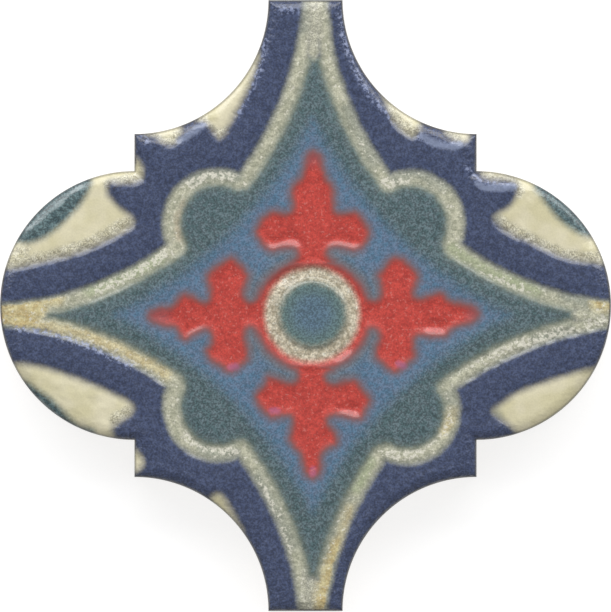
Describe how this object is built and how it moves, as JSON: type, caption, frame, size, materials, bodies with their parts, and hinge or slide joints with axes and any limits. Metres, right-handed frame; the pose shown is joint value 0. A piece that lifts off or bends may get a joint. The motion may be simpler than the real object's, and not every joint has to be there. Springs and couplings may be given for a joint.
{
  "type": "arabesque tile",
  "caption": "Small arabesque wall or floor inset tile in glazed ceramic, pressed with a four-pointed star, a ring and a flowered cross, with a grooved back",
  "frame": {"origin": "middle of the tile's flat back face, on the plane that it lies on", "axes": "+Z out of the back and up through the glazed face; +Y towards the upper neck, the way the ornament stands in a wall; +X towards the right lobe"},
  "size_m": [0.065, 0.065, 0.007],
  "materials": {
    "glaze": "majolica glaze in navy, grey teal, blue, cream, ochre and red, finely mottled, glossy; bare buff biscuit on the back"
  },
  "bodies": {
    "root": {"tile": "glaze"}
  },
  "joints": []
}
